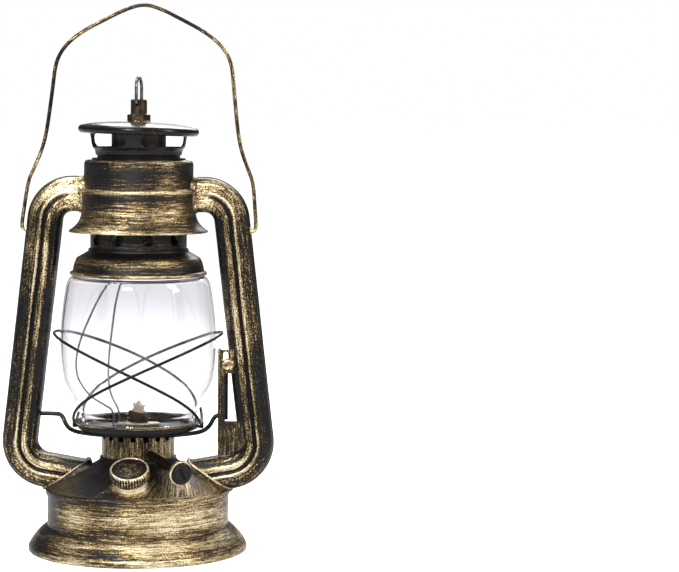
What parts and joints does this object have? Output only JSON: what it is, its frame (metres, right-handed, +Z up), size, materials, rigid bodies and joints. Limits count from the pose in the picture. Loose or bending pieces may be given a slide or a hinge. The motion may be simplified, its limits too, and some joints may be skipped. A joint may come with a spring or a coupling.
{
  "type": "railway lantern",
  "caption": "Hurricane-pattern railway hand lantern with an electric lampholder, side tubes, a lifting glass globe, filler cap, wick knob and swinging bail.",
  "frame": {"origin": "on the floor under the lantern's axis, at the centre of the foot", "axes": "+Z up the lantern's axis, +X towards the tube with the lifter bracket, -Y towards the front, where the filler cap and wick knob are"},
  "size_m": [0.1806, 0.146, 0.3639],
  "materials": {
    "aged_brass": "black base coat dry-brushed with gold",
    "black_enamel": "satin black enamel",
    "black_wire": "black coated wire with gold rub-through",
    "aged_steel": "dark brown-black paint with gold rub",
    "spring_steel": "bright wire",
    "copper_brown": "red-brown lacquer",
    "raw_brass": "plain brass",
    "clear_glass": "clear, faint lavender tint",
    "brown_bakelite": "brown moulded phenolic",
    "black_plastic": "moulded black plastic",
    "white_steatite": "unglazed steatite",
    "black_rubber": "matt rubber",
    "wire_insulation": "thin dark sleeving",
    "wick_cotton": "woven cotton, frayed top"
  },
  "bodies": {
    "lantern_frame": {"fount_base": "aged_brass", "bottom_plate": "black_enamel", "fount_dome": "aged_brass", "cable_grommet": "black_rubber", "terminal_block": "white_steatite", "filler_neck": "aged_brass", "burner_drum": "aged_brass", "burner_floor": "black_enamel", "burner_cap": "aged_brass", "wick_tube": "black_enamel", "spindle_sleeve": "copper_brown", "lift_bracket": "aged_brass", "left_tube_front": "aged_brass", "left_tube_rear": "aged_brass", "right_tube_front": "aged_brass", "right_tube_rear": "aged_brass", "left_tube_shoe": "aged_brass", "right_tube_shoe": "aged_brass", "bell_spring": "spring_steel", "crown": "aged_brass", "crown_top": "black_enamel", "bell_guide": "aged_steel", "canopy_basket": "black_enamel", "canopy_cap": "black_enamel", "hanger_nipple": "aged_steel", "hanger_washer": "aged_steel", "hanger_nut": "aged_steel", "hook_block": "aged_steel", "bail_eyelets": "aged_brass", "holder_cap": "brown_bakelite", "holder_skirt": "brown_bakelite", "lamp_thread": "raw_brass", "contact_base": "white_steatite", "centre_contact": "raw_brass", "side_contact": "spring_steel", "lead_wire_live": "wire_insulation", "lead_wire_neutral": "wire_insulation"},
    "globe_lift": {"globe_plate": "aged_brass", "globe": "clear_glass", "guard_wire_left": "black_wire", "guard_wire_right": "black_wire", "guard_clips": "aged_brass", "lifter_wire": "black_wire", "lift_slider": "black_enamel", "lift_eye": "aged_brass"},
    "bell": {"bell": "aged_brass", "bell_collar": "black_enamel"},
    "bail": {"bail": "aged_brass"},
    "hang_ring": {"hang_ring": "black_wire"},
    "gasket": {"filler_gasket": "black_rubber"},
    "filler_cap": {"filler_cap": "aged_brass"},
    "wick_knob": {"wick_spindle": "copper_brown", "wick_wheels": "aged_steel", "wick_knob": "aged_brass", "knob_face": "black_plastic"},
    "wick": {"wick": "wick_cotton"}
  },
  "joints": [
    {"name": "bail_swing", "type": "hinge", "parent": "lantern_frame", "child": "bail", "pos_m": [0, 0, 0.2136], "axis": [1, 0, 0], "range_deg": [-110, 110]},
    {"name": "ring_swing", "type": "hinge", "parent": "lantern_frame", "child": "hang_ring", "pos_m": [0, 0, 0.2976], "axis": [0.1564, 0.9877, 0], "range_deg": [-95, 95]},
    {"name": "cap_travel", "type": "slide", "parent": "lantern_frame", "child": "gasket", "axis": [-0.0082, -0.4703, 0.8824], "range_m": [0, 0.005]},
    {"name": "cap_turn", "type": "hinge", "parent": "gasket", "child": "filler_cap", "pos_m": [-0.00082, -0.04679, 0.04894], "axis": [-0.0082, -0.4703, 0.8824], "range_deg": [0, 720]},
    {"name": "knob_turn", "type": "hinge", "parent": "lantern_frame", "child": "wick_knob", "pos_m": [-0.00352, -0.00256, 0.0708], "axis": [0.577, -0.7942, -0.1908], "range_deg": [-180, 72]},
    {"name": "wick_rise", "type": "slide", "parent": "lantern_frame", "child": "wick", "axis": [0, 0, 1], "range_m": [-0.0105, 0.0042]},
    {"name": "globe_lift", "type": "slide", "parent": "lantern_frame", "child": "globe_lift", "axis": [0, 0, 1], "range_m": [0, 0.007]},
    {"name": "bell_lift", "type": "slide", "parent": "lantern_frame", "child": "bell", "axis": [0, 0, 1], "range_m": [0, 0.007], "deforming": ["bell_spring"]}
  ],
  "couplings": [
    {"joint": "cap_travel", "follows": "cap_turn", "m_per_rad": 0.00039789},
    {"joint": "wick_rise", "follows": "knob_turn", "m_per_rad": 0.0031412},
    {"joint": "bell_lift", "follows": "globe_lift", "ratio": 1}
  ]
}
